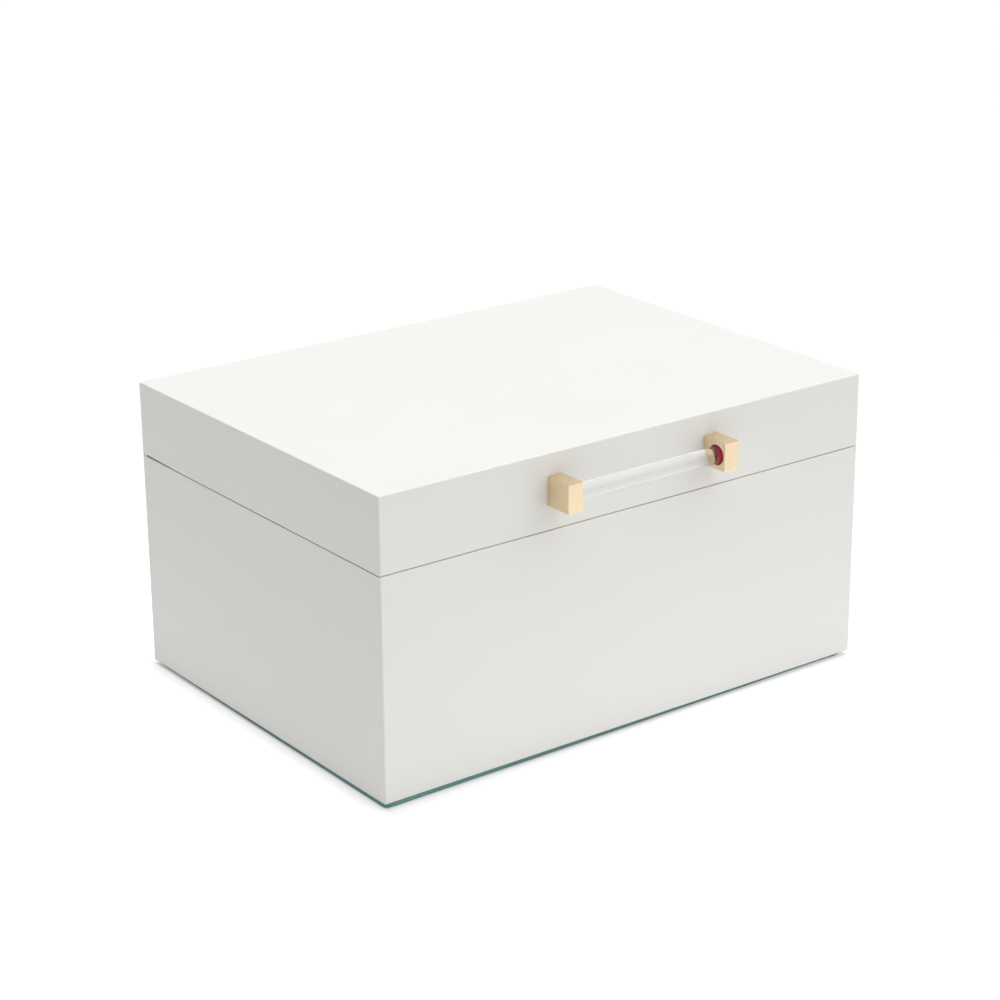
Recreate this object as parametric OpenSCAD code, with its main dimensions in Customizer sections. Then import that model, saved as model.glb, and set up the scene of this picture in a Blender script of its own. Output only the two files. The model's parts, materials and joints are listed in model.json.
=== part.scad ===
// Jewellery box: lacquered case with a hinged lid, a clear bar handle on metal posts,
// quadrant hinges with sliding stays, a velvet-lined well and a lift-out tray.
// Origin: centre of the resting face under the felt. +X right, +Y back, +Z up. Millimetres.

/* [Case] */
// Width of the case, left to right
case_w = 296; // [280:1:340]
// Depth of the case, front to back
case_d = 214; // [200:1:240]
// Height of the lower case, without the felt under it
base_h = 113.6; // [108:0.2:140]
// Height of the lid
lid_h = 38.4; // [38:0.2:44]
// Thickness of the side panels
wall_t = 10; // [10:0.5:12]
// Thickness of the panel on top of the lid
lid_top_t = 7; // [6:0.5:7]
// Thickness of the floor panel
floor_t = 6; // [5:0.5:8]
// Gap between the lower case and the closed lid
seam_gap = 0.4; // [0.4:0.1:0.8]
// Radius of the upright corners
corner_r = 1; // [0.5:0.5:3]

/* [Felt and lining] */
// Thickness of the felt under the case
felt_t = 2.5; // [1:0.5:3]
// How far the felt stands back from the outline of the case
felt_inset = 1.2; // [0.5:0.1:3]
// Thickness of the lining boards
lining_t = 2; // [1.5:0.5:3]
// Thickness of the boards that the tray rests on
rest_t = 4; // [3:0.5:6]

/* [Handle] */
// Distance between the fixing screws
handle_pitch = 96; // [64:32:160]
// Width of a post along the bar
post_w = 8.6; // [8:0.2:12]
// Height of a post
post_h = 15; // [14:0.5:18]
// How far a post stands out of the lid
post_out = 16; // [16:0.5:20]
// Diameter of the clear bar
rod_d = 8.5; // [8:0.1:9]
// Diameter of the hole in each post, which a grommet lines
seat_d = 10.4; // [10:0.1:10.6]
// Distance from the lid to the middle of the bar
rod_out = 9.5; // [9.4:0.1:9.8]

/* [Hinges] */
// Thickness of a hinge leaf
leaf_t = 1.5; // [1.2:0.1:1.6]
// Radius of the hinge knuckles
knuckle_r = 2.6; // [2.5:0.1:2.8]
// Radius of the hinge pin
pin_r = 1.2; // [1:0.1:1.3]
// Angle between the closed and the open lid
lid_swing = 95; // [80:1:96]

/* [Tray and dividers] */
// Height of the lift-out tray
tray_h = 25; // [22:1:26]
// Thickness of the tray's walls
tray_wall_t = 4; // [3:0.5:5]
// Number of ring rolls
ring_rolls = 7; // [6:1:7]
// Height of the dividers in the well
divider_h = 52; // [40:1:60]
// Thickness of all dividers
divider_t = 4; // [3:0.5:5]

/* [Hidden] */
$fn = 64;
lacquer_colour = [0.95, 0.945, 0.925];
velvet_colour = [0.16, 0.42, 0.44];
felt_colour = [0.30, 0.52, 0.52];
metal_colour = [0.93, 0.72, 0.55];
clear_colour = [0.90, 0.93, 0.92, 0.35];
crimson_colour = [0.55, 0.07, 0.10];
mirror_colour = [0.80, 0.84, 0.86];
rubber_colour = [0.85, 0.86, 0.86, 0.6];

// Fits
slip = 0.1;       // half-lap slots and loosely seated parts
running = 0.05;   // radial clearance of pins, screws and the bar
above = 1;        // how far a cutter runs past the face that it opens

// Levels, from the table upwards
seam_z = felt_t + base_h;
lid_z = seam_z + seam_gap;
top_z = lid_z + lid_h;
ceiling_z = top_z - lid_top_t;
floor_z = felt_t + floor_t;
well_z = floor_z + lining_t;
rim_drop = 1;     // the linings stop this far short of the rims
lining_top_z = seam_z - rim_drop;

// Inside sizes
in_w = case_w - 2 * wall_t;
in_d = case_d - 2 * wall_t;
upper_w = in_w - 2 * lining_t;
upper_d = in_d - 2 * lining_t;
well_w = upper_w - 2 * rest_t;
foot_r = 0.3;     // rounding of the lower edges
rim_r = 0.4;      // rounding of the rims where lid and lower case meet
top_r = 0.7;      // rounding of the lid's top edges
felt_corner_r = 3;

// Tray
tray_play = 0.75;
tray_w = upper_w - 2 * tray_play;
tray_d = upper_d - 2 * tray_play;
tray_z = seam_z - tray_h - 4.5;
rest_gap = 0.2;
tray_board_t = 2.5;
tray_floor_z = tray_z + tray_board_t;
tray_lining_t = 1.2;
tray_inner_z = tray_floor_z + tray_lining_t;
tray_in_w = tray_w - 2 * tray_wall_t;
tray_in_d = tray_d - 2 * tray_wall_t;
tray_divider_h = 17;
tray_column_x = 49;    // the two long dividers stand this far from the middle
tray_row_d = (tray_in_d - 2 * divider_t) / 3;
tray_front_y = -tray_in_d / 2 + tray_row_d + divider_t / 2;
tray_mid_y = tray_front_y + tray_row_d + divider_t;
side_cell_w = tray_in_w / 2 - tray_column_x - divider_t / 2;
notch_r = 12;
notch_depth = 10;

// Ring rolls
roll_gap = 0.4;
roll_pitch = (2 * tray_row_d + divider_t) / ring_rolls;
roll_w = roll_pitch - roll_gap;
roll_h = 16.8;
roll_l = side_cell_w - 1.2;

// Well dividers
cross_x = 62;

// Lid lining and mirror
frame_t = 4.4;
frame_lip = 1.2;
mirror_w = 240;
mirror_d = 158;
mirror_t = 3;
mirror_play = 0.1;
mirror_overlap = 4;

// Hinges. The pin runs along X, half a millimetre behind the case and midway between the rims.
axis_y = case_d / 2 + 0.5;
axis_z = seam_z + seam_gap / 2;
leaf_w = 8;
leaf_margin = 1;
side_leg = 44;         // from the pin to the front end of a leaf
back_leg = 30;
knuckle_x = case_w / 2 - 4;
knuckle_l = 8;
knuckle_gap = 0.2;
knuckle_count = 3;
barrel_l = knuckle_count * knuckle_l + (knuckle_count - 1) * knuckle_gap;
leaf_x = case_w / 2 - leaf_margin - leaf_w / 2;
pin_head_r = 1.9;
pin_head_l = 0.8;
relief_l = 46;         // the lid's rim rises towards each hinge, from this far in front of the pin
relief_h = 0.8;

// Stays
stay_r1 = 31;
stay_r2 = 35;
stay_t = 1.6;
stay_stop_t = 3.2;
stay_stop_angle = 3;
stay_half_angle = lid_swing / 2 + stay_stop_angle + asin((leaf_t + seam_gap / 2) / 33) + 0.3;
stay_slot_t = 2.2;
mortise_t = 3.8;
mortise_play = 0.5;
mortise_angle = stay_half_angle + 2;
mortise_lead = 1;      // degrees by which a mortise runs past the rim

// Screws
leaf_screw_r = 1;
leaf_screw_head_r = 2;
leaf_screw_head_h = 1;
leaf_screw_l = 8;
leaf_screw_y = [-20, -40];   // along the side leg, from the pin
handle_screw_r = 1.95;
handle_screw_head_r = 3.5;
handle_screw_head_h = 2.2;
handle_screw_reach = 3.6;    // how deep the screw goes into the post
handle_bore_depth = 3.9;
handle_hole_r = 2.2;
counterbore_r = 4;
counterbore_depth = 3;

// Bar and its seats
seat_depth = 5.6;
grommet_drop = 0.6;          // how far the grommets stand back in the posts
grommet_floor = 0.6;
post_edge_r = 0.5;
post_top_r = 0.25;
handle_z = top_z - 18.7;
rod_y = -case_d / 2 - rod_out;
post_inner_x = handle_pitch / 2 - post_w / 2;

// Rubber dots between the rims
bumper_r = 2.5;
bumper_t = seam_gap - 0.05;
bumper_inset = 7;

ROLL_NODES = [for (i = [1:ring_rolls]) str("ring_roll_", i)];

// ---------- shared shapes ----------

// The sliver that a round corner of radius r leaves out of a square corner at the origin
module corner_cut(r) {
  difference() {
    translate([-above, -above]) square(r + above);
    translate([r, r]) circle(r);
  }
}

// A rectangle standing on the X axis, with its two lower and two upper corners rounded
module round_rect(w, h, r_low, r_high) {
  difference() {
    translate([-w / 2, 0]) square([w, h]);
    for (side = [0, 1]) mirror([side, 0]) {
      translate([-w / 2, 0]) corner_cut(r_low);
      translate([-w / 2, h]) mirror([0, 1]) corner_cut(r_high);
    }
  }
}

// A block standing on Z = 0 with round upright corners, lower edges and upper edges
module round_block(w, d, h, r_upright, r_low, r_high) {
  intersection() {
    translate([0, -d / 2, 0]) linear_extrude(h) round_rect(w, d, r_upright, r_upright);
    translate([0, d / 2, 0]) rotate([90, 0, 0]) linear_extrude(d) round_rect(w, h, r_low, r_high);
    translate([-w / 2, 0, 0]) rotate([90, 0, 90]) linear_extrude(w) round_rect(d, h, r_low, r_high);
  }
}

// A box centred on X and Y that stands at z and is h high
module box(w, d, z, h) translate([-w / 2, -d / 2, z]) cube([w, d, h]);

// Ground outline of one mitred side panel: 0 front, 1 back, 2 left, 3 right
module mitre_outline(side) {
  long_x = case_w / 2;
  long_y = case_d / 2;
  flip = (side == 0 || side == 2) ? 0 : 1;
  if (side < 2)
    mirror([0, flip])
      polygon([[-long_x, -long_y], [long_x, -long_y],
               [long_x - wall_t, wall_t - long_y], [wall_t - long_x, wall_t - long_y]]);
  else
    mirror([flip, 0])
      polygon([[-long_x, -long_y], [wall_t - long_x, wall_t - long_y],
               [wall_t - long_x, long_y - wall_t], [-long_x, long_y]]);
}

module on_both_sides() {
  children();
  mirror([1, 0, 0]) children();
}

// Places a child on the hinge axis: its X points to the front, its Y up and its Z along the pin
module on_hinge_axis(x) translate([x, axis_y, axis_z]) rotate([90, 0, -90]) children();

// A flat arc about the hinge axis at x, from angle a0 to a1 above the seam
module hinge_arc(x, r1, r2, t, a0, a1) {
  on_hinge_axis(x) rotate([0, 0, a0]) rotate_extrude(angle = a1 - a0)
    translate([r1, -t / 2]) square([r2 - r1, t]);
}

// A cylinder along X from x, on the hinge axis
module along_pin(x, r, l) translate([x, axis_y, axis_z]) rotate([0, 90, 0]) cylinder(h = l, r = r);

// ---------- hinges, drawn for the right-hand side ----------

// Ground outline of one leaf: a leg along the side rim and one along the back rim
module leaf_outline() {
  x1 = case_w / 2 - leaf_margin;
  y_back = case_d / 2;
  translate([x1 - leaf_w, axis_y - side_leg]) square([leaf_w, y_back - axis_y + side_leg]);
  translate([x1 - back_leg, y_back - leaf_margin - leaf_w])
    square([back_leg, leaf_margin + leaf_w]);
}

// Centres of a leaf's three screws
function leaf_screw_places() = concat(
  [for (y = leaf_screw_y) [leaf_x, axis_y + y]],
  [[leaf_x - back_leg + leaf_w, case_d / 2 - leaf_margin - leaf_w / 2]]);

// Start of one knuckle, counted from the outer end of the barrel
function knuckle_start(i) = knuckle_x - (i + 1) * knuckle_l - i * knuckle_gap;

// Knuckles of one leaf: the lower leaf has the two outer ones and the lid's leaf the middle one
function own_knuckles(upper) = upper ? [1] : [0, 2];
function other_knuckles(upper) = upper ? [0, 2] : [1];

module hinge_leaf(upper) {
  plate_z = upper ? lid_z : seam_z - leaf_t;
  difference() {
    union() {
      translate([0, 0, plate_z]) linear_extrude(leaf_t) leaf_outline();
      for (i = own_knuckles(upper)) {
        along_pin(knuckle_start(i), knuckle_r, knuckle_l);
        translate([knuckle_start(i), axis_y - leaf_w, plate_z])
          cube([knuckle_l, leaf_w, leaf_t]);
      }
    }
    along_pin(knuckle_x - barrel_l - above, pin_r + running, barrel_l + 2 * above);
    for (i = other_knuckles(upper))
      along_pin(knuckle_start(i) - knuckle_gap, knuckle_r + 0.3, knuckle_l + 2 * knuckle_gap);
    // Behind the barrel's ends the plate would reach the other leaf's sweep
    translate([knuckle_x, axis_y - knuckle_r - 0.3, plate_z - above])
      cube([wall_t, wall_t, leaf_t + 2 * above]);
    translate([knuckle_x - barrel_l - wall_t, axis_y - knuckle_r - 0.3, plate_z - above])
      cube([wall_t, wall_t, leaf_t + 2 * above]);
    // Slot for the stay
    translate([leaf_x - stay_slot_t / 2, axis_y - stay_r2 - mortise_play, plate_z - above])
      cube([stay_slot_t, stay_r2 - stay_r1 + 2 * mortise_play, leaf_t + 2 * above]);
    leaf_screw_holes(upper);
  }
}

// A countersunk screw pointing down, its head flush with z = 0, made fatter by grow
module leaf_screw(grow) {
  translate([0, 0, -leaf_screw_l]) cylinder(h = leaf_screw_l, r = leaf_screw_r + grow);
  translate([0, 0, -leaf_screw_head_h])
    cylinder(h = leaf_screw_head_h, r1 = leaf_screw_r + grow, r2 = leaf_screw_head_r + grow);
}

// Screws through the lower leaf point down, and those through the lid's leaf point up
module leaf_screws(upper, grow) {
  for (p = leaf_screw_places())
    translate([p[0], p[1], upper ? lid_z : seam_z])
      mirror([0, 0, upper ? 1 : 0])
        leaf_screw(grow);
}

module leaf_screw_holes(upper) leaf_screws(upper, running);

// The finished screws, with a slot across each head
module slotted_leaf_screws(upper) {
  slot_depth = 0.5;
  difference() {
    leaf_screws(upper, 0);
    for (p = leaf_screw_places())
      translate([p[0] - leaf_screw_head_r, p[1] - 0.25, upper ? lid_z - above : seam_z - slot_depth])
        cube([2 * leaf_screw_head_r, 0.5, slot_depth + above]);
  }
}

module hinge_pin() {
  along_pin(knuckle_x - barrel_l, pin_r, barrel_l);
  along_pin(knuckle_x, pin_head_r, pin_head_l);
  along_pin(knuckle_x - barrel_l - pin_head_l, pin_head_r, pin_head_l);
}

// A curved bar that slides between the two side mortises. It is thinned on both sides
// between its ends, which are left thick as stops.
module lid_stay() {
  thin_angle = stay_half_angle - stay_stop_angle;
  relief_x = (stay_t + stay_stop_t) / 2;
  difference() {
    hinge_arc(leaf_x, stay_r1, stay_r2, stay_stop_t, -stay_half_angle, stay_half_angle);
    for (side = [-1, 1])
      hinge_arc(leaf_x + side * relief_x, stay_r1 - above, stay_r2 + above, stay_stop_t,
                -thin_angle, thin_angle);
  }
}

// Everything that is cut out of the panels for one hinge
module hinge_cutter(upper) {
  plate_z = upper ? lid_z - above : seam_z - leaf_t;
  translate([0, 0, plate_z]) linear_extrude(leaf_t + above) leaf_outline();
  translate([knuckle_x - barrel_l - leaf_margin, case_d / 2 - leaf_margin - above, plate_z])
    cube([barrel_l + 2 * leaf_margin, 2 * above + leaf_margin, leaf_t + above]);
  along_pin(knuckle_x - barrel_l - leaf_margin, knuckle_r + 0.4, barrel_l + 2 * leaf_margin);
  hinge_arc(leaf_x, stay_r1 - mortise_play, stay_r2 + mortise_play, mortise_t,
            upper ? -mortise_lead : -mortise_angle, upper ? mortise_angle : mortise_lead);
  leaf_screw_holes(upper);
}

// A wedge cut from the outer lip of the lid's rim beside a hinge, so that the lid doesn't bind
// there. It stops short of the corner.
module hinge_relief() {
  front = axis_y - relief_l;
  back = case_d / 2 - corner_r - 0.2;
  translate([case_w / 2 - leaf_margin - above, 0, 0]) rotate([90, 0, 90])
    linear_extrude(leaf_margin + 2 * above)
      polygon([[front, lid_z - above], [front, lid_z], [back, lid_z + relief_h], [back, lid_z - above]]);
}

// ---------- lower case ----------

module base_block()
  translate([0, 0, felt_t]) round_block(case_w, case_d, base_h, corner_r, foot_r, rim_r);

module base_panel(side) {
  color(lacquer_colour) difference() {
    intersection() {
      base_block();
      translate([0, 0, felt_t - above]) linear_extrude(base_h + 2 * above) mitre_outline(side);
    }
    if (side != 0) on_both_sides() hinge_cutter(false);
  }
}

module base_felt() {
  color(felt_colour) translate([0, felt_inset - case_d / 2, 0]) linear_extrude(felt_t)
    round_rect(case_w - 2 * felt_inset, case_d - 2 * felt_inset, felt_corner_r, felt_corner_r);
}

module base_floor_panel() color(lacquer_colour) box(in_w, in_d, felt_t, floor_t);

// Four small dots of clear rubber that the lid closes on
module rim_bumpers() {
  places = [[case_w * 0.4, bumper_inset - case_d / 2], [case_w / 2 - bumper_inset, -case_d / 8]];
  color(rubber_colour) on_both_sides()
    for (p = places) translate([p[0], p[1], seam_z]) cylinder(h = bumper_t, r = bumper_r);
}

// ---------- lining of the lower case ----------

// One of four upright boards: 0 front, 1 back, 2 left, 3 right. w and d are measured round
// the outside of all four, and the side boards stand between the front and the back one.
module board(side, w, d, t, z0, z1) {
  if (side < 2)
    mirror([0, side == 0 ? 0 : 1, 0]) translate([-w / 2, -d / 2, z0]) cube([w, t, z1 - z0]);
  else
    mirror([side == 2 ? 0 : 1, 0, 0])
      translate([-w / 2, t - d / 2, z0]) cube([t, d - 2 * t, z1 - z0]);
}

module well_floor_lining() color(velvet_colour) box(in_w, in_d, floor_z, lining_t);

module well_lining(side)
  color(velvet_colour) board(side, in_w, in_d, lining_t, well_z, lining_top_z);

// A board that one end of the tray rests on, drawn on the left
module tray_rest()
  color(velvet_colour) translate([-upper_w / 2, -upper_d / 2, well_z])
    cube([rest_t, upper_d, tray_z - rest_gap - well_z]);

// The long divider is slotted from above and the two cross dividers from below
module well_divider_long() {
  color(velvet_colour) difference() {
    box(well_w - 2 * slip, divider_t, well_z, divider_h);
    for (x = [-cross_x, cross_x])
      translate([x - divider_t / 2 - slip, -divider_t, well_z + divider_h / 2])
        cube([divider_t + 2 * slip, 2 * divider_t, divider_h]);
  }
}

module well_divider_cross() {
  color(velvet_colour) difference() {
    translate([cross_x, 0, 0]) box(divider_t, upper_d - 2 * slip, well_z, divider_h);
    translate([cross_x - divider_t, -divider_t / 2 - slip, well_z - above])
      cube([2 * divider_t, divider_t + 2 * slip, divider_h / 2 + above]);
  }
}

// ---------- lid ----------

module lid_block()
  translate([0, 0, lid_z]) round_block(case_w, case_d, lid_h, corner_r, rim_r, top_r);

module lid_top_panel() {
  color(lacquer_colour) intersection() {
    lid_block();
    box(case_w + above, case_d + above, ceiling_z, lid_top_t + above);
  }
}

module lid_rail(side) {
  color(lacquer_colour) difference() {
    intersection() {
      lid_block();
      translate([0, 0, lid_z - above]) linear_extrude(ceiling_z - lid_z + above) mitre_outline(side);
    }
    if (side != 0) on_both_sides() {
      hinge_cutter(true);
      hinge_relief();
    }
    if (side == 0) on_both_sides() handle_screw_hole();
  }
}

module lid_lining(side)
  color(velvet_colour) board(side, in_w, in_d, lining_t, lid_z + rim_drop, ceiling_z - frame_t);

// A frame that holds the mirror against the top panel
module mirror_frame() {
  color(velvet_colour) difference() {
    box(in_w, in_d, ceiling_z - frame_t, frame_t);
    box(mirror_w + 2 * mirror_play, mirror_d + 2 * mirror_play,
        ceiling_z - frame_t + frame_lip, frame_t);
    box(mirror_w - 2 * mirror_overlap, mirror_d - 2 * mirror_overlap,
        ceiling_z - frame_t - above, frame_t);
  }
}

module lid_mirror()
  color(mirror_colour) box(mirror_w, mirror_d, ceiling_z - frame_t + frame_lip, mirror_t);

// ---------- handle, drawn for the right-hand post ----------

// Places a child at the foot of a screw: its Z points out of the front of the lid
module at_handle_screw()
  translate([handle_pitch / 2, -case_d / 2, handle_z]) rotate([90, 0, 0]) children();

module handle_screw_hole() {
  at_handle_screw() {
    translate([0, 0, -wall_t - above]) cylinder(h = wall_t + 2 * above, r = handle_hole_r);
    translate([0, 0, -wall_t - above]) cylinder(h = counterbore_depth + above, r = counterbore_r);
  }
}

module handle_screw() {
  head_z = counterbore_depth - wall_t;
  slot = 1;
  at_handle_screw() difference() {
    union() {
      translate([0, 0, head_z]) cylinder(h = -head_z + handle_screw_reach, r = handle_screw_r);
      translate([0, 0, head_z - handle_screw_head_h])
        cylinder(h = handle_screw_head_h, r = handle_screw_head_r);
    }
    for (turn = [0, 90]) rotate([0, 0, turn])
      translate([-2.2, -slot / 2, head_z - handle_screw_head_h - above])
        cube([4.4, slot, slot + above]);
  }
}

module handle_post() {
  color(metal_colour) difference() {
    translate([handle_pitch / 2, -case_d / 2 - post_out / 2, handle_z - post_h / 2])
      round_block(post_w, post_out, post_h, post_edge_r, post_edge_r, post_top_r);
    translate([post_inner_x - above, rod_y, handle_z]) rotate([0, 90, 0])
      cylinder(h = seat_depth + above, r = seat_d / 2);
    at_handle_screw() translate([0, 0, -above])
      cylinder(h = handle_bore_depth + above, r = handle_screw_r + running);
  }
}

module handle_bar() {
  reach = post_inner_x + seat_depth - grommet_floor - slip;
  color(clear_colour) translate([-reach, rod_y, handle_z]) rotate([0, 90, 0])
    cylinder(h = 2 * reach, r = rod_d / 2);
}

// Crimson rubber cups that line the holes in the posts and grip the bar's ends
module bar_grommets() {
  cup_l = seat_depth - grommet_drop;
  color(crimson_colour) on_both_sides()
    translate([post_inner_x + grommet_drop, rod_y, handle_z]) rotate([0, 90, 0])
      difference() {
        cylinder(h = cup_l, r = seat_d / 2 - running);
        translate([0, 0, -above])
          cylinder(h = cup_l - grommet_floor + above, r = rod_d / 2 + running);
      }
}

// ---------- tray ----------

module tray_bottom() color(velvet_colour) box(tray_w, tray_d, tray_z, tray_board_t);

module tray_wall(side) {
  color(velvet_colour) difference() {
    board(side, tray_w, tray_d, tray_wall_t, tray_floor_z, tray_z + tray_h);
    // Finger notches in the two short walls
    if (side > 1)
      translate([-tray_w, 0, tray_z + tray_h + notch_r - notch_depth]) rotate([0, 90, 0])
        cylinder(h = 2 * tray_w, r = notch_r);
  }
}

module tray_floor_lining()
  color(velvet_colour) box(tray_in_w, tray_in_d, tray_floor_z, tray_lining_t);

// A long divider from front to back, slotted from above where the cross divider passes
module tray_divider_long() {
  color(velvet_colour) difference() {
    translate([tray_column_x, 0, 0])
      box(divider_t, tray_in_d - 2 * slip, tray_inner_z, tray_divider_h);
    translate([tray_column_x - divider_t, tray_front_y - divider_t / 2 - slip,
               tray_inner_z + tray_divider_h / 2])
      cube([2 * divider_t, divider_t + 2 * slip, tray_divider_h]);
  }
}

// The cross divider from left to right, slotted from below over the two long ones
module tray_divider_cross() {
  color(velvet_colour) difference() {
    translate([0, tray_front_y, 0])
      box(tray_in_w - 2 * slip, divider_t, tray_inner_z, tray_divider_h);
    on_both_sides()
      translate([tray_column_x - divider_t / 2 - slip, tray_front_y - divider_t,
                 tray_inner_z - above])
        cube([divider_t + 2 * slip, 2 * divider_t, tray_divider_h / 2 + above]);
  }
}

// A short divider between the right-hand long one and the end wall
module tray_divider_short() {
  start_x = tray_column_x + divider_t / 2 + slip;
  color(velvet_colour) translate([start_x, tray_mid_y - divider_t / 2, tray_inner_z])
    cube([tray_in_w / 2 - slip - start_x, divider_t, tray_divider_h]);
}

// One ring roll of the left-hand column, counted from the front
module ring_roll(i) {
  y = tray_front_y + divider_t / 2 + (i - 0.5) * roll_pitch;
  x = -tray_in_w / 2 + (side_cell_w - roll_l) / 2;
  color(velvet_colour) translate([x, y, tray_inner_z]) rotate([90, 0, 90]) linear_extrude(roll_l)
    union() {
      translate([-roll_w / 2, 0]) square([roll_w, roll_h - roll_w / 2]);
      translate([0, roll_h - roll_w / 2]) circle(roll_w / 2);
    }
}

// ---------- assembly ----------

base_felt();
base_floor_panel();
base_panel(0);  // base_front_panel
base_panel(1);  // base_back_panel
base_panel(2);  // base_left_panel
base_panel(3);  // base_right_panel
well_floor_lining();
well_lining(0);  // well_lining_front
well_lining(1);  // well_lining_back
well_lining(2);  // well_lining_left
well_lining(3);  // well_lining_right
tray_rest();  // tray_rest_left
mirror([1, 0, 0]) tray_rest();  // tray_rest_right
well_divider_long();
mirror([1, 0, 0]) well_divider_cross();  // well_divider_left
well_divider_cross();  // well_divider_right
rim_bumpers();
color(metal_colour) mirror([1, 0, 0]) hinge_leaf(false);  // hinge_leaf_base_left
color(metal_colour) hinge_leaf(false);  // hinge_leaf_base_right
color(metal_colour) mirror([1, 0, 0]) hinge_pin();  // hinge_pin_left
color(metal_colour) hinge_pin();  // hinge_pin_right
color(metal_colour) on_both_sides() slotted_leaf_screws(false);  // hinge_screws_base
color(metal_colour) mirror([1, 0, 0]) lid_stay();  // lid_stay_left
color(metal_colour) lid_stay();  // lid_stay_right
lid_top_panel();
lid_rail(0);  // lid_front_rail
lid_rail(1);  // lid_back_rail
lid_rail(2);  // lid_left_rail
lid_rail(3);  // lid_right_rail
lid_lining(0);  // lid_lining_front
lid_lining(1);  // lid_lining_back
lid_lining(2);  // lid_lining_left
lid_lining(3);  // lid_lining_right
mirror_frame();
lid_mirror();
color(metal_colour) mirror([1, 0, 0]) hinge_leaf(true);  // hinge_leaf_lid_left
color(metal_colour) hinge_leaf(true);  // hinge_leaf_lid_right
color(metal_colour) on_both_sides() slotted_leaf_screws(true);  // hinge_screws_lid
mirror([1, 0, 0]) handle_post();  // handle_post_left
handle_post();  // handle_post_right
handle_bar();
bar_grommets();
color(metal_colour) on_both_sides() handle_screw();  // handle_screws
tray_bottom();
tray_wall(0);  // tray_wall_front
tray_wall(1);  // tray_wall_back
tray_wall(2);  // tray_wall_left
tray_wall(3);  // tray_wall_right
tray_floor_lining();
mirror([1, 0, 0]) tray_divider_long();  // tray_divider_left
tray_divider_long();  // tray_divider_right
tray_divider_cross();
tray_divider_short();
for (i = [1:ring_rolls]) ring_roll(i);
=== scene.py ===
"""Looks of the jewellery box: lacquered case and lid, clear bar handle on rose-gold posts,
velvet lining, lift-out tray with ring rolls, mirror in the lid and felt underneath.
Everything is in metres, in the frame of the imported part. The script makes, in this order:
materials, felt, ring rolls, clear bar, covered boards, padded floors, floor, light, camera."""

import bpy
import bmesh
import json
import math
from mathutils import Vector, Matrix, noise


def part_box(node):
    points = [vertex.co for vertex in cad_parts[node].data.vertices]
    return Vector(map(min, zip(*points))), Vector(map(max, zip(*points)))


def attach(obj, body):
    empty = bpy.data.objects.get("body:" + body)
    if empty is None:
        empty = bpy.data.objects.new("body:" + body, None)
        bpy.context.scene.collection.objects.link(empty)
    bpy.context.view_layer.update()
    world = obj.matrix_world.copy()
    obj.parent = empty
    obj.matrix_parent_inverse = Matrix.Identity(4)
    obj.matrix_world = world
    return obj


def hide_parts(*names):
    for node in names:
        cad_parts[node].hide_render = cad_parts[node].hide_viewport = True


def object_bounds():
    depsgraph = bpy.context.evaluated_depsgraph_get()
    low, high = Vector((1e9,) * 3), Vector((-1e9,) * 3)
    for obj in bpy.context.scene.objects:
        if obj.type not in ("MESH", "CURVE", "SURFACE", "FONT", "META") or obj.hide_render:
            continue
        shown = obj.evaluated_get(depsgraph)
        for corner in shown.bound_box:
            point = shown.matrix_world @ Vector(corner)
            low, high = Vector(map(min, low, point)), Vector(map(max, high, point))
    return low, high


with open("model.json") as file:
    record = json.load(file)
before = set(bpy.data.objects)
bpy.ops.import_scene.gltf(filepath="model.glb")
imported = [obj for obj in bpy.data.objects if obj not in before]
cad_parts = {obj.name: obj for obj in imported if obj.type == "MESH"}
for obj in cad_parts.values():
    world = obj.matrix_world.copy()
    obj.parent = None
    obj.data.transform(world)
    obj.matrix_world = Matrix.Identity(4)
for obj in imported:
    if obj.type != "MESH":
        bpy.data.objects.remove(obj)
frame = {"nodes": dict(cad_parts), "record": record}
cad_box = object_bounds()
nodes = frame["nodes"]
scene = bpy.context.scene
MM = 0.001

# The room: strength of its walls and of its ceiling, where one turns into the other (cosines
# from the axis), and the axis
CEILING_LEVELS = (0.15, 2.36)
CEILING_EDGE = (0.35, 0.97)
CEILING_AXIS = (0.395, -0.08, 1.0)
# The floor's glow near the box and far from it, and the distances between which it changes
FLOOR_GLOW = (0.96, 0.57)
FLOOR_GLOW_REACH = (0.12, 0.45)
# Close beside the box the glow is dimmed, a painted contact shadow: the share of it that is
# left, by distance in mm. A distance to the left or right counts for SIDEWAYS as much.
PAINTED_CONTACT_SHADOW = ((0, 0.18), (1, 0.38), (2.5, 0.53), (5, 0.63), (9, 0.70), (14, 0.77), (22, 0.88), (40, 1.0))
SIDEWAYS = 2.3
# The least share that the painted shadow leaves anywhere: near the front left corner and at the
# far corners, and the distances from that corner between which it changes
LEAST_GLOW = (0.0, 0.42)
LEAST_GLOW_REACH = (0.09, 0.31)


# ---------- node helpers ----------

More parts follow.
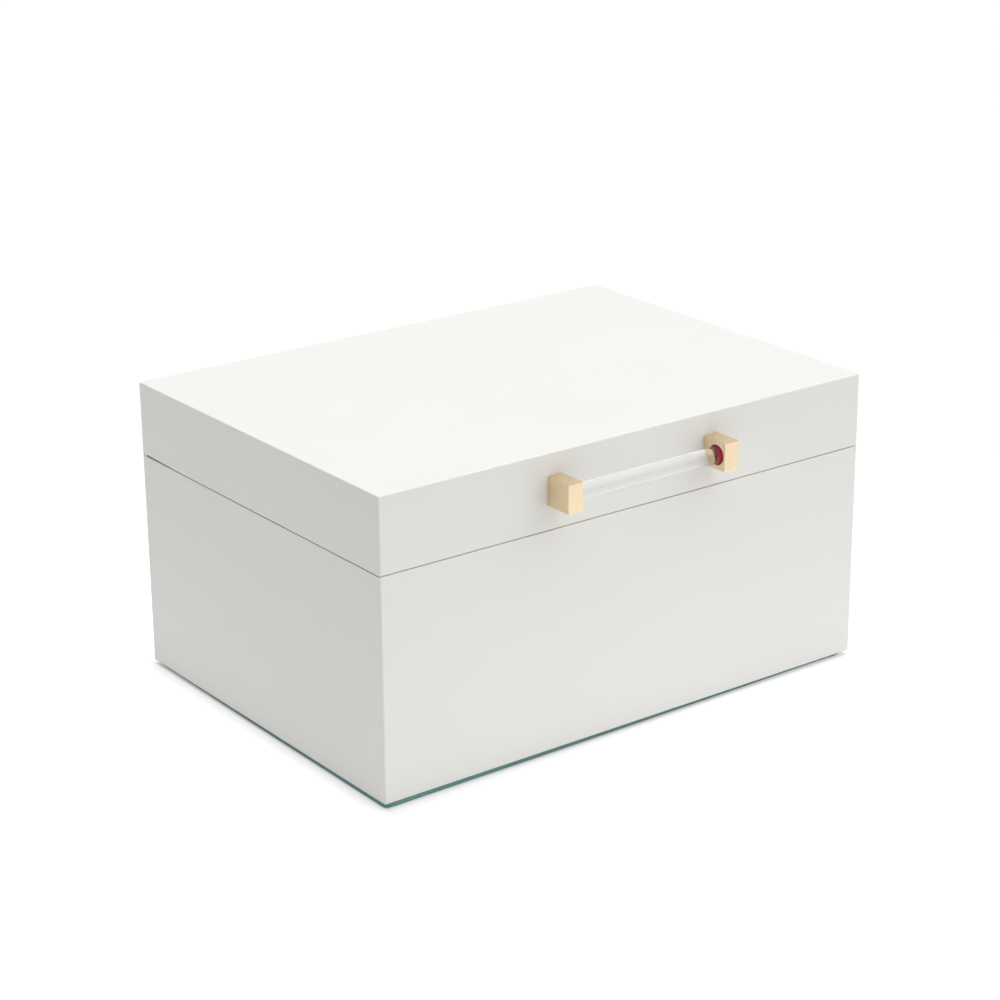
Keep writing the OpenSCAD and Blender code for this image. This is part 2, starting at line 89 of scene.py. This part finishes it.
class Shader:
    """A material's node tree: a Principled BSDF and small builders for what feeds it."""

    def __init__(self, name, **sockets):
        self.material = bpy.data.materials.new(name)
        self.material.use_nodes = True
        self.tree = self.material.node_tree
        self.bsdf = self.tree.nodes["Principled BSDF"]
        self.place = self.add("ShaderNodeTexCoord").outputs["Object"]
        for socket, value in sockets.items():
            self.bsdf.inputs[socket.replace("_", " ")].default_value = value

    def add(self, kind, **settings):
        node = self.tree.nodes.new(kind)
        for key, value in settings.items():
            setattr(node, key, value)
        return node

    def link(self, source, target):
        self.tree.links.new(source, target)
        return self

    def to(self, socket, source):
        """Feeds one socket of the Principled BSDF."""
        return self.link(source, self.bsdf.inputs[socket])

    def stretched(self, scale):
        """Object coordinates scaled separately along X, Y and Z."""
        mapping = self.add("ShaderNodeMapping")
        mapping.inputs["Scale"].default_value = scale
        self.link(self.place, mapping.inputs["Vector"])
        return mapping.outputs["Vector"]

    def noise(self, size, detail=3.0, rough=0.5, vector=None):
        """Noise whose features are about size metres across."""
        node = self.add("ShaderNodeTexNoise")
        node.inputs["Scale"].default_value = 1.0 / size
        node.inputs["Detail"].default_value = detail
        node.inputs["Roughness"].default_value = rough
        self.link(vector or self.place, node.inputs["Vector"])
        return node.outputs["Fac"]

    def maths(self, operation, a, b):
        """One step of maths on two linked numbers."""
        node = self.add("ShaderNodeMath", operation=operation)
        self.link(a, node.inputs[0])
        self.link(b, node.inputs[1])
        return node.outputs["Value"]

    def vector_maths(self, operation, source, value=None):
        """One step of vector maths. It gives a number where the operation does, else a vector."""
        node = self.add("ShaderNodeVectorMath", operation=operation)
        self.link(source, node.inputs[0])
        if value is not None:
            node.inputs[1].default_value = value
        gives_number = operation in ("DOT_PRODUCT", "LENGTH", "DISTANCE")
        return node.outputs["Value" if gives_number else "Vector"]

    def spread(self, source, low, high, start=0.3, end=0.7):
        """Maps start..end of a factor to low..high."""
        node = self.add("ShaderNodeMapRange")
        for socket, value in (("From Min", start), ("From Max", end), ("To Min", low), ("To Max", high)):
            node.inputs[socket].default_value = value
        self.link(source, node.inputs["Value"])
        return node.outputs["Result"]

    def ramp(self, source, *stops):
        """A colour ramp with stops of (position, (r, g, b))."""
        node = self.add("ShaderNodeValToRGB")
        elements = node.color_ramp.elements
        while len(elements) < len(stops):
            elements.new(0.5)
        for element, (position, colour) in zip(elements, stops):
            element.position = position
            element.color = (*colour, 1.0)
        self.link(source, node.inputs["Fac"])
        return node.outputs["Color"]

    def bump(self, *layers):
        """Bump from layers of (height, depth in metres, strength), one over the other."""
        normal = None
        for height, depth, strength in layers:
            node = self.add("ShaderNodeBump")
            node.inputs["Distance"].default_value = depth
            node.inputs["Strength"].default_value = strength
            self.link(height, node.inputs["Height"])
            if normal is not None:
                self.link(normal, node.inputs["Normal"])
            normal = node.outputs["Normal"]
        return self.to("Normal", normal)


# ---------- materials ----------

def make_lacquer():
    """Satin white lacquer: faint orange peel, slow drifts of tone and gloss, a matt bloom."""
    s = Shader("satin_white_lacquer", IOR=1.5, Specular_IOR_Level=0.35, Coat_Weight=0.06,
               Coat_Roughness=0.16, Sheen_Weight=0.75, Sheen_Roughness=1.0,
               Sheen_Tint=(1.0, 0.99, 0.955, 1.0))
    drift = s.noise(0.11, detail=2.0)
    s.to("Base Color", s.ramp(drift, (0.25, (0.654, 0.648, 0.618)), (0.75, (0.668, 0.662, 0.632))))
    s.to("Roughness", s.spread(s.noise(0.03, detail=4.0), 0.30, 0.38))
    s.bump((s.noise(0.0026, detail=2.0), 0.00002, 0.35), (s.noise(0.0005, detail=2.0), 0.000004, 0.25))
    return s.material


def make_velvet(name, dark, mid, light):
    """Short-pile velvet: fine tufts, a brushed nap and a pale sheen at grazing angles."""
    s = Shader(name, Roughness=0.95, Specular_IOR_Level=0.15, Sheen_Weight=0.85,
               Sheen_Roughness=0.38, Sheen_Tint=(*light, 1.0))
    nap = s.noise(0.018, detail=3.0, vector=s.stretched((1.0, 0.45, 1.0)))
    tufts = s.noise(0.0007, detail=3.0, rough=0.65)
    mixed = s.add("ShaderNodeMath", operation="MULTIPLY_ADD")
    mixed.inputs[1].default_value = 0.45
    s.link(tufts, mixed.inputs[0])
    s.link(s.spread(nap, 0.0, 0.55, 0.25, 0.75), mixed.inputs[2])
    s.to("Base Color", s.ramp(mixed.outputs[0], (0.15, dark), (0.5, mid), (0.9, light)))
    s.bump((nap, 0.0004, 0.25), (tufts, 0.00018, 0.8))
    return s.material


def make_felt():
    """Pressed wool felt: tangled fibres, flecks of lighter wool."""
    s = Shader("pressed_felt", Roughness=0.95, Specular_IOR_Level=0.1, Sheen_Weight=0.2,
               Sheen_Roughness=0.6, Sheen_Tint=(0.5, 0.66, 0.64, 1.0))
    fibre = s.noise(0.0012, detail=6.0, rough=0.75, vector=s.stretched((1.0, 1.0, 2.5)))
    s.to("Base Color", s.ramp(fibre, (0.3, (0.085, 0.185, 0.18)), (0.55, (0.16, 0.32, 0.31)),
                              (0.8, (0.30, 0.49, 0.475))))
    s.bump((fibre, 0.0004, 0.7))
    return s.material


def make_metal(name, low, high, size, stretch, rough, depth, painted_dark_edge=None):
    """Plated metal with a fine lay of polishing lines along one direction. The edge between
    the top and the front may be darkened, a painted dark reflection."""
    s = Shader(name, Metallic=1.0)
    lines = s.noise(size, detail=3.0, vector=s.stretched(stretch))
    plate = s.ramp(s.noise(0.006, detail=3.0), (0.3, low), (0.7, high))
    if painted_dark_edge:
        # painted dark reflection: darker where the normal lies between the top and the front
        normal = s.add("ShaderNodeTexCoord").outputs["Normal"]
        at_edge = s.vector_maths("DOT_PRODUCT", normal, Vector((0, -1, 1)).normalized())
        tint = s.add("ShaderNodeMix", data_type="RGBA", blend_type="MULTIPLY")
        tint.inputs["Factor"].default_value = 1.0
        colour_a, colour_b, result = tint.inputs[6], tint.inputs[7], tint.outputs[2]
        s.link(plate, colour_a)
        s.link(s.ramp(at_edge, (0.8, (1.0, 1.0, 1.0)), (0.93, painted_dark_edge)), colour_b)
        plate = result
    s.to("Base Color", plate)
    s.to("Roughness", s.spread(lines, rough[0], rough[1]))
    s.bump((lines, depth, 0.5))
    return s.material


def make_acrylic():
    """Clear polished acrylic with the faintest haze of handling."""
    s = Shader("clear_acrylic", IOR=1.48, Transmission_Weight=1.0)
    haze = s.noise(0.02, detail=3.0)
    s.to("Base Color", s.ramp(haze, (0.3, (0.942, 0.952, 0.948)), (0.7, (0.952, 0.96, 0.956))))
    s.to("Roughness", s.spread(haze, 0.12, 0.135, 0.3, 0.8))
    return s.material


def make_crimson_cup():
    """Crimson rubber, with painted shade at a cup's mouth. Its painted glow deeper in stands for the light
    the bar lets in.
    """
    cup_length, mouth_length = 5 * MM, 1.5 * MM
    s = Shader("crimson_rubber", IOR=1.5, Emission_Color=(0.85, 0.1, 0.13, 1.0))
    grain = s.noise(0.0006, detail=3.0)
    from_middle = s.add("ShaderNodeSeparateXYZ")
    s.link(s.vector_maths("ABSOLUTE", s.place), from_middle.inputs[0])
    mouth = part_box("bar_grommets")[1][0] - cup_length
    depth = s.spread(from_middle.outputs["X"], 0.0, 1.0, mouth, mouth + mouth_length)
    painted_shade_and_glow = s.maths("ADD", depth, s.spread(grain, -0.1, 0.1))
    # painted shade at the cup's mouth, the rubber's crimson deeper in
    s.to("Base Color", s.ramp(painted_shade_and_glow, (0.1, (0.22, 0.015, 0.022)), (0.6, (0.62, 0.08, 0.1))))
    # painted glow deeper in the cup, though the rubber is no lamp
    s.to("Emission Strength", s.spread(painted_shade_and_glow, 0.0, 0.065, 0.2, 0.9))
    s.to("Roughness", s.spread(grain, 0.28, 0.4))
    s.bump((grain, 0.00002, 0.4))
    return s.material


def make_clear_rubber():
    """Clear moulded rubber with a matt skin, for the bumper dots."""
    s = Shader("clear_rubber", IOR=1.5, Transmission_Weight=0.6)
    grain = s.noise(0.0006, detail=3.0)
    s.to("Base Color", s.ramp(grain, (0.3, (0.86, 0.88, 0.87)), (0.7, (0.92, 0.93, 0.925))))
    s.to("Roughness", s.spread(grain, 0.19, 0.31))
    s.bump((grain, 0.00002, 0.4))
    return s.material


def make_mirror():
    """Silvered glass with a trace of wiping marks."""
    s = Shader("silvered_mirror", Metallic=1.0)
    wipe = s.noise(0.05, detail=5.0, vector=s.stretched((1.0, 2.2, 1.0)))
    s.to("Base Color", s.ramp(wipe, (0.3, (0.86, 0.89, 0.885)), (0.7, (0.90, 0.92, 0.915))))
    s.to("Roughness", s.spread(wipe, 0.012, 0.04, 0.4, 0.8))
    return s.material


lacquer = make_lacquer()
velvet = make_velvet("teal_velvet", (0.012, 0.085, 0.095), (0.025, 0.145, 0.155), (0.12, 0.34, 0.35))
roll_velvet = make_velvet("teal_velvet_rolls", (0.014, 0.095, 0.105), (0.03, 0.16, 0.17),
                          (0.14, 0.37, 0.38))
felt = make_felt()
# the posts' plate, with a painted dark reflection on their top front edges
rose_gold = make_metal("rose_gold_plate", (0.87, 0.69, 0.465), (0.90, 0.73, 0.50), 0.0009,
                       (1.0, 6.0, 1.0), (0.16, 0.26), 0.000006, painted_dark_edge=(0.34, 0.27, 0.24))
# the hardware's rose gold is darker than the posts': painted shade, as the hinges show mostly in the
# seam's shadow
hinge_gold_painted_shade = make_metal("rose_gold_hardware", (0.52, 0.29, 0.21), (0.62, 0.36, 0.27), 0.0007,
                        (5.0, 1.0, 1.0), (0.22, 0.36), 0.00001)
acrylic = make_acrylic()
crimson = make_crimson_cup()
clear_rubber = make_clear_rubber()
mirror_glass = make_mirror()

SLOT_MATERIALS = {
    "lacquer": lacquer, "velvet": velvet, "felt": felt, "rose_gold": hinge_gold_painted_shade,
    "acrylic": acrylic, "crimson_rubber": crimson, "clear_rubber": clear_rubber,
    "mirror_glass": mirror_glass,
}


def dress(obj, material):
    obj.data.materials.clear()
    obj.data.materials.append(material)


for part in frame["record"]["subparts"]:
    dress(nodes[part["node"]], SLOT_MATERIALS[part["material_slot"]])
for name in ("handle_post_left", "handle_post_right"):
    dress(nodes[name], rose_gold)


# ---------- making meshes ----------

def finished(name, bm, material, body, replaced):
    """Turns a bmesh into a smooth object that rides on a body and stands for a CAD node."""
    bmesh.ops.recalc_face_normals(bm, faces=bm.faces)
    mesh = bpy.data.meshes.new(name)
    bm.to_mesh(mesh)
    bm.free()
    return placed(name, mesh, material, body, replaced)


def placed(name, mesh, material, body, replaced):
    for polygon in mesh.polygons:
        polygon.use_smooth = True
    obj = bpy.data.objects.new(name, mesh)
    scene.collection.objects.link(obj)
    dress(obj, material)
    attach(obj, body)
    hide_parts(replaced)
    return obj


def skin_rings(bm, rings, flat_ends=False):
    """Skins closed rings of points, each the same length, and closes both ends."""
    loops = [[bm.verts.new(p) for p in ring] for ring in rings]
    count = len(loops[0])
    for a, b in zip(loops, loops[1:]):
        for i in range(count):
            j = (i + 1) % count
            bm.faces.new((a[i], a[j], b[j], b[i]))
    ends = [bm.faces.new(loops[0][::-1]), bm.faces.new(loops[-1])]
    if flat_ends:
        for end in ends:
            for edge in end.edges:
                edge.smooth = False


def ease(t):
    """0 below 0, 1 above 1, and smooth between them."""
    t = min(max(t, 0.0), 1.0)
    return t * t * (3.0 - 2.0 * t)


def stations(low, high, round_r, step):
    """Positions from low to high: close together in the rounded ends, about step apart between."""
    count = max(1, round((high - low - 2 * round_r) / step))
    inner = [low + round_r + (high - low - 2 * round_r) * k / count for k in range(count + 1)]
    return [low, low + 0.35 * round_r, *inner, high - 0.35 * round_r, high]


def gridded_box(lines):
    """A box of quads, cut at the given positions along X, Y and Z."""
    bm = bmesh.new()
    last = [len(line) - 1 for line in lines]
    corners = {}

    def vert(key):
        if key not in corners:
            corners[key] = bm.verts.new([line[k] for line, k in zip(lines, key)])
        return corners[key]

    for axis in range(3):
        u, v = [a for a in range(3) if a != axis]
        for end in (0, last[axis]):
            for i in range(last[u]):
                for j in range(last[v]):
                    quad = []
                    for du, dv in ((0, 0), (1, 0), (1, 1), (0, 1)):
                        key = [0, 0, 0]
                        key[axis], key[u], key[v] = end, i + du, j + dv
                        quad.append(vert(tuple(key)))
                    bm.faces.new(quad)
    return bm


def rounded(bm, low, high, r):
    """Pulls the points of a box in so that its edges and corners are rounded."""
    for vert in bm.verts:
        core = Vector([min(max(c, a + r), b - r) for c, a, b in zip(vert.co, low, high)])
        out = vert.co - core
        if out.length > 1e-9:
            vert.co = core + out.normalized() * min(r, out.length)


# ---------- velvet over boards ----------

def soften(obj, width):
    """Rounds the edges of a slotted or notched board, as the velvet wrapped over it does."""
    bevel = obj.modifiers.new("soft_edges", "BEVEL")
    bevel.width = width
    bevel.segments = 3
    bevel.limit_method = "ANGLE"
    bevel.angle_limit = math.radians(40)
    for polygon in obj.data.polygons:
        polygon.use_smooth = True


def wrapped_board(node, body):
    """A plain board wrapped in velvet: rounded edges and faces that are never quite flat."""
    low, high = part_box(node)
    r = 0.8 * MM
    bm = gridded_box([stations(a, b, r, 7 * MM) for a, b in zip(low, high)])
    middle = (Vector(low) + Vector(high)) / 2
    rounded(bm, low, high, r)
    for vert in bm.verts:
        give = 0.22 * MM * (0.5 + 0.5 * noise.noise(vert.co * 45 + Vector((len(node), 0, 0))))
        inwards = Vector([math.copysign(give, m - c) for m, c in zip(middle, vert.co)])
        vert.co += inwards
    return finished("velvet_" + node, bm, velvet, body, node)


def padded_floor(name, node, body, walls_x, walls_y, crown):
    """A thin velvet pad that swells a little between the dividers that stand on it."""
    low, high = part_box(node)
    lines = [stations(low[0], high[0], 1 * MM, 3 * MM), stations(low[1], high[1], 1 * MM, 3 * MM),
             [low[2], high[2]]]
    bm = gridded_box(lines)
    for vert in bm.verts:
        if vert.co.z < high[2] - 1e-7:
            continue
        reach = min([abs(vert.co.x - x) for x in walls_x] + [abs(vert.co.y - y) for y in walls_y])
        swell = ease((reach - 2 * MM) / (13 * MM))
        ripple = 0.16 * MM * noise.noise(vert.co * 60)
        vert.co.z += crown * swell + ripple * swell - 0.05 * MM
    pad = finished(name, bm, velvet, body, node)
    return pad


# ---------- ring rolls ----------

ROLLS = [part["node"] for part in frame["record"]["subparts"] if part["node"].startswith("ring_roll")]


def loaf_outline(width, height, count):
    """Points round a loaf-shaped section: flat underneath and half round on top."""
    r = width / 2
    points = []
    for k in range(count):
        angle = math.pi * k / (count - 1)
        points.append((r * math.cos(angle), height - r + r * math.sin(angle)))
    side = [(height - r) * k / 6 for k in range(5, 0, -1)]
    points += [(-r, z) for z in side]
    points += [(-r + 1 * MM, 0.0)]
    points += [(-r + width * k / 6, 0.0) for k in range(1, 6)]
    points += [(r - 1 * MM, 0.0)]
    points += [(r, z) for z in reversed(side)]
    return points


def roll_core(low, high):
    """The foam of one roll, slimmer than its solid by what the cloth will swell."""
    slack = 1.1 * MM
    width, height = high[1] - low[1] - 2 * slack, high[2] - low[2] - slack
    middle_y = (low[1] + high[1]) / 2
    outline = loaf_outline(width, height, 17)
    bm = bmesh.new()
    rings = []
    for x in stations(low[0] + slack, high[0] - slack, 3 * MM, 4 * MM):
        end = min(x - low[0], high[0] - x) - slack
        shrink = 0.80 + 0.20 * math.sqrt(ease(end / (3 * MM)))
        rings.append([(x, middle_y + y * shrink, low[2] + 0.1 * MM + z * (0.5 + shrink / 2))
                      for y, z in outline])
    skin_rings(bm, rings)
    bmesh.ops.recalc_face_normals(bm, faces=bm.faces)
    mesh = bpy.data.meshes.new("roll_core")
    bm.to_mesh(mesh)
    bm.free()
    core = bpy.data.objects.new("roll_core", mesh)
    scene.collection.objects.link(core)
    remesh = core.modifiers.new("even", "REMESH")
    remesh.mode = "VOXEL"
    remesh.voxel_size = 1.7 * MM
    even = bpy.data.meshes.new_from_object(core.evaluated_get(bpy.context.evaluated_depsgraph_get()))
    core.modifiers.clear()
    core.data = even
    return core


def swell(obj, pressure, cap, is_pinned):
    """Blows a closed mesh up as cloth. No point moves further than cap."""
    start = [vert.co.copy() for vert in obj.data.vertices]
    pinned = obj.vertex_groups.new(name="pinned")
    pinned.add([k for k, co in enumerate(start) if is_pinned(co)], 1.0, "REPLACE")
    cloth = obj.modifiers.new("cloth", "CLOTH")
    cloth.settings.vertex_group_mass = "pinned"
    cloth.settings.use_pressure = True
    cloth.settings.uniform_pressure_force = pressure
    cloth.settings.mass = 0.1
    cloth.settings.tension_stiffness = 12
    cloth.settings.compression_stiffness = 12
    cloth.settings.bending_stiffness = 0.2
    cloth.settings.effector_weights.gravity = 0
    cloth.point_cache.frame_start = 1
    cloth.point_cache.frame_end = 20
    for step in range(1, 21):
        scene.frame_set(step)
    posed = obj.evaluated_get(bpy.context.evaluated_depsgraph_get())
    ends = [vert.co.copy() for vert in posed.data.vertices]
    obj.modifiers.clear()
    scene.frame_set(1)
    for vert, a, b in zip(obj.data.vertices, start, ends):
        move = b - a
        if move.length > cap:
            move = move.normalized() * cap
        vert.co = a + move


def make_ring_rolls():
    """One roll is blown up by simulation, and each of the seven is that roll, handled a little."""
    low, high = (Vector(corner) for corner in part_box(ROLLS[0]))
    core = roll_core(low, high)
    foot = low.z + 1.2 * MM
    swell(core, 4.0, 1.6 * MM, lambda co: co.z < foot)
    middle = (low + high) / 2
    half = (high - low) / 2
    for number, node in enumerate(ROLLS):
        own_low = Vector(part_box(node)[0])
        mesh = core.data.copy()
        mesh.name = "velvet_" + node
        for vert in mesh.vertices:
            at = vert.co - middle
            if number % 2:
                at.x = -at.x
            depth = half.x - abs(at.x)
            turn = math.atan2(at.y, at.z)
            pucker = 0.22 * MM * math.exp(-depth / (3 * MM)) * math.sin(9 * turn + number)
            dent = 0.35 * MM * noise.noise(at * 70 + Vector((3.7 * number, 0, 0)))
            top = ease((at.z + half.z * 0.2) / half.z)
            at.z = min(at.z + (dent - 0.2 * MM) * top + pucker * top, half.z)
            at.y = min(max(at.y + pucker * 0.5, 0.05 * MM - half.y), half.y - 0.05 * MM)
            at.x = min(max(at.x, -half.x), half.x)
            vert.co = at + middle + (own_low - low)
        if number % 2:
            mesh.flip_normals()
        roll = placed("velvet_" + node, mesh, roll_velvet, "tray", node)
        roll.modifiers.new("smooth", "SUBSURF").levels = 1
        roll.modifiers["smooth"].render_levels = 1
    bpy.data.objects.remove(core)


# ---------- felt ----------

def make_felt_pad():
    """Felt glued under the case. It was cut by hand: its edge wanders and it is fullest at the
    front left corner."""
    low, high = (Vector(corner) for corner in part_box("base_felt"))
    case_low, case_high = (Vector(corner) for corner in cad_box)
    case_low.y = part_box("base_front_panel")[0][1]
    case_high.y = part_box("base_back_panel")[1][1]
    thick = high.z - low.z
    per_side = 90

    def edge_point(side, t, inset):
        x0, x1 = case_low.x + inset, case_high.x - inset
        y0, y1 = case_low.y + inset, case_high.y - inset
        walk = (((x0, y0), (x1, y0)), ((x1, y0), (x1, y1)), ((x1, y1), (x0, y1)), ((x0, y1), (x0, y0)))
        (ax, ay), (bx, by) = walk[side]
        return Vector((ax + (bx - ax) * t, ay + (by - ay) * t, 0))

    corner_r = 3 * MM

    def ring(extra, z, lift=0.0):
        points = []
        for side in range(4):
            for k in range(per_side):
                at = edge_point(side, k / per_side, 0.0)
                away = (at - Vector((case_low.x, case_low.y, 0))).length
                wander = 0.16 * MM * noise.noise(at * 90) + 0.1 * MM * noise.noise(at * 400)
                inset = 0.15 * MM + min(0.009 * away, 2.5 * MM) + wander + extra
                at = edge_point(side, k / per_side, inset)
                edge = inset + corner_r
                core = Vector((min(max(at.x, case_low.x + edge), case_high.x - edge),
                               min(max(at.y, case_low.y + edge), case_high.y - edge), 0))
                out = at - core
                if out.length > corner_r:
                    at = core + out.normalized() * corner_r
                fuzz = lift * (0.5 + 0.5 * noise.noise(at * 300))
                points.append((at.x, at.y, low.z + z + fuzz))
        return points

    bm = bmesh.new()
    under = [ring(inset * MM, 0.0, 0.12 * MM) for inset in (75, 45, 20, 7, 2)]
    rim = [ring(0.45 * MM, 0.0), ring(0.12 * MM, 0.18 * thick), ring(0.0, 0.5 * thick),
           ring(0.06 * MM, 0.8 * thick), ring(0.4 * MM, thick)]
    over = [ring(inset * MM, thick) for inset in (7, 45)]
    skin_rings(bm, under + rim + over)
    pad = finished("felt_pad", bm, felt, "base", "base_felt")


# ---------- clear bar ----------

def make_bar():
    """The clear bar: polished, with broken edges at its ends and a drawn rod's faint waves."""
    low, high = (Vector(corner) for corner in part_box("handle_bar"))
    middle = (low + high) / 2
    r = (high.z - low.z) / 2
    edge = 0.4 * MM
    inner = [low.x + edge + (high.x - low.x - 2 * edge) * k / 40 for k in range(41)]
    profile = [(low.x, r - edge), *[(x, r) for x in inner], (high.x, r - edge)]
    rings = []
    for x, radius in profile:
        ring = []
        for k in range(96):
            angle = 2 * math.pi * k / 96
            wave = 0.006 * MM * (noise.noise(Vector((x * 60, angle, 0))) - 1)
            ring.append((x, middle.y + (radius + wave) * math.cos(angle),
                         middle.z + (radius + wave) * math.sin(angle)))
        rings.append(ring)
    bm = bmesh.new()
    skin_rings(bm, rings, flat_ends=True)
    bar = finished("acrylic_bar", bm, acrylic, "lid", "handle_bar")
    # the light that a clear bar lets through would be lost, and the lid behind it too dark
    bar.visible_shadow = False
    bar.visible_diffuse = False


make_felt_pad()
make_ring_rolls()
make_bar()
BOARDS = {
    "base": ("well_lining_front", "well_lining_back", "well_lining_left", "well_lining_right",
             "tray_rest_left", "tray_rest_right"),
    "lid": ("lid_lining_front", "lid_lining_back", "lid_lining_left", "lid_lining_right"),
    "tray": ("tray_bottom", "tray_wall_front", "tray_wall_back", "tray_divider_short"),
}
for body, boards in BOARDS.items():
    for board in boards:
        wrapped_board(board, body)


def middle_of(node, axis):
    low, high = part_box(node)
    return (low[axis] + high[axis]) / 2


def ends_of(node, axis):
    return [corner[axis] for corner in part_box(node)]


padded_floor("velvet_well_floor", "well_floor_lining", "base",
             ends_of("well_floor_lining", 0) + ends_of("tray_rest_left", 0) + ends_of("tray_rest_right", 0)
             + [middle_of("well_divider_left", 0), middle_of("well_divider_right", 0)],
             ends_of("well_floor_lining", 1) + [middle_of("well_divider_long", 1)], 1.2 * MM)
padded_floor("velvet_tray_floor", "tray_floor_lining", "tray",
             ends_of("tray_floor_lining", 0) + [middle_of("tray_divider_left", 0),
                                                middle_of("tray_divider_right", 0)],
             ends_of("tray_floor_lining", 1) + [middle_of("tray_divider_cross", 1)], 0.9 * MM)
done = {board for boards in BOARDS.values() for board in boards}
for part in frame["record"]["subparts"]:
    node = part["node"]
    if part["material_slot"] != "velvet":
        mesh = nodes[node].data
        mesh.shade_smooth()
        mesh.set_sharp_from_angle(angle=math.radians(28))
    elif node not in done and "floor" not in node and node not in ROLLS:
        soften(nodes[node], 0.7 * MM)


# ---------- stage, light and camera ----------

def painted_shadow_beside_box(s):
    """The painted contact shadow beside the box: the share of the floor's glow that is left, by
    distance from the felt's outline and from the box's front left corner."""
    low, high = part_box("base_felt")
    outside = s.vector_maths("ABSOLUTE", s.place)
    outside = s.vector_maths("SUBTRACT", outside, (high[0], high[1], 1.0))
    outside = s.vector_maths("MAXIMUM", outside, (0.0, 0.0, 0.0))
    outside = s.vector_maths("MULTIPLY", outside, (SIDEWAYS, 1.0, 1.0))
    reach = PAINTED_CONTACT_SHADOW[-1][0]
    along = s.spread(s.vector_maths("LENGTH", outside), 0.0, 1.0, 0.0, reach * MM)
    dimmed = s.ramp(along, *((at / reach, (left, left, left)) for at, left in PAINTED_CONTACT_SHADOW))
    from_corner = s.vector_maths("DISTANCE", s.place, (low[0], low[1], 0.0))
    lifted = s.add("ShaderNodeMapRange")
    s.link(dimmed, lifted.inputs["Value"])
    s.link(s.spread(from_corner, *LEAST_GLOW, *LEAST_GLOW_REACH), lifted.inputs["To Min"])
    return lifted.outputs["Result"]


def make_floor():
    """A wide white sweep, lit a little from below, that the box stands on."""
    half, cells = 12.0, 8
    bm = bmesh.new()
    bmesh.ops.create_grid(bm, x_segments=cells, y_segments=cells, size=half)
    s = Shader("white_sweep", Specular_IOR_Level=0.2, Emission_Color=(1.0, 1.0, 1.0, 1.0))
    s.to("Base Color", s.ramp(s.noise(0.5), (0.3, (0.34, 0.34, 0.34)), (0.7, (0.36, 0.36, 0.36))))
    glow = s.spread(s.vector_maths("LENGTH", s.place), *FLOOR_GLOW, *FLOOR_GLOW_REACH)
    # the glow, less the painted contact shadow beside the box
    s.to("Emission Strength", s.maths("MULTIPLY", glow, painted_shadow_beside_box(s)))
    s.to("Roughness", s.spread(s.noise(0.2), 0.6, 0.7))
    mesh = bpy.data.meshes.new("floor")
    bm.to_mesh(mesh)
    bm.free()
    floor = bpy.data.objects.new("floor", mesh)
    scene.collection.objects.link(floor)
    floor.data.materials.append(s.material)


def make_light():
    """A white room whose ceiling is one broad soft light, brightest overhead. Where the room
    itself is in view, above the far edge of the floor, it is white like the floor."""
    world = bpy.data.worlds.new("white_room")
    world.use_nodes = True
    tree = world.node_tree
    background = tree.nodes["Background"]
    background.inputs["Color"].default_value = (1.0, 1.0, 1.0, 1.0)
    direction = tree.nodes.new("ShaderNodeTexCoord").outputs["Generated"]
    height = tree.nodes.new("ShaderNodeVectorMath")
    height.operation = "DOT_PRODUCT"
    height.inputs[1].default_value = Vector(CEILING_AXIS).normalized()
    rise = tree.nodes.new("ShaderNodeMapRange")
    rise.interpolation_type = "SMOOTHSTEP"
    for socket, value in zip(("From Min", "From Max", "To Min", "To Max"), CEILING_EDGE + CEILING_LEVELS):
        rise.inputs[socket].default_value = value
    tree.links.new(direction, height.inputs[0])
    tree.links.new(height.outputs["Value"], rise.inputs["Value"])
    seen = tree.nodes.new("ShaderNodeMath")
    seen.operation = "MAXIMUM"
    tree.links.new(rise.outputs["Result"], seen.inputs[0])
    tree.links.new(tree.nodes.new("ShaderNodeLightPath").outputs["Is Camera Ray"], seen.inputs[1])
    tree.links.new(seen.outputs["Value"], background.inputs["Strength"])
    scene.world = world


def make_camera():
    """A long lens from the front left, a little above the box, aimed just over its middle."""
    azimuth, elevation, roll = (math.radians(a) for a in (-36.66, 20.21, -0.446))
    distance = 1.370
    target = Vector((0.0, 0.0, 0.0789))
    aim_right, aim_up = -0.0005, 0.0094
    back = Vector((math.sin(azimuth) * math.cos(elevation),
                   -math.cos(azimuth) * math.cos(elevation), math.sin(elevation)))
    right = (-back).cross(Vector((0, 0, 1))).normalized()
    up = right.cross(-back)
    tilted_right = math.cos(roll) * right + math.sin(roll) * up
    tilted_up = -math.sin(roll) * right + math.cos(roll) * up
    data = bpy.data.cameras.new("camera")
    data.sensor_width = 36.0
    data.lens = 95.56
    data.clip_end = 100.0
    camera = bpy.data.objects.new("camera", data)
    rotation = Matrix((tilted_right, tilted_up, back)).transposed().to_4x4()
    place = target + aim_right * tilted_right + aim_up * tilted_up + distance * back
    camera.matrix_world = Matrix.Translation(place) @ rotation
    scene.collection.objects.link(camera)
    scene.camera = camera


make_floor()
make_light()
make_camera()
scene.view_settings.view_transform = "Standard"
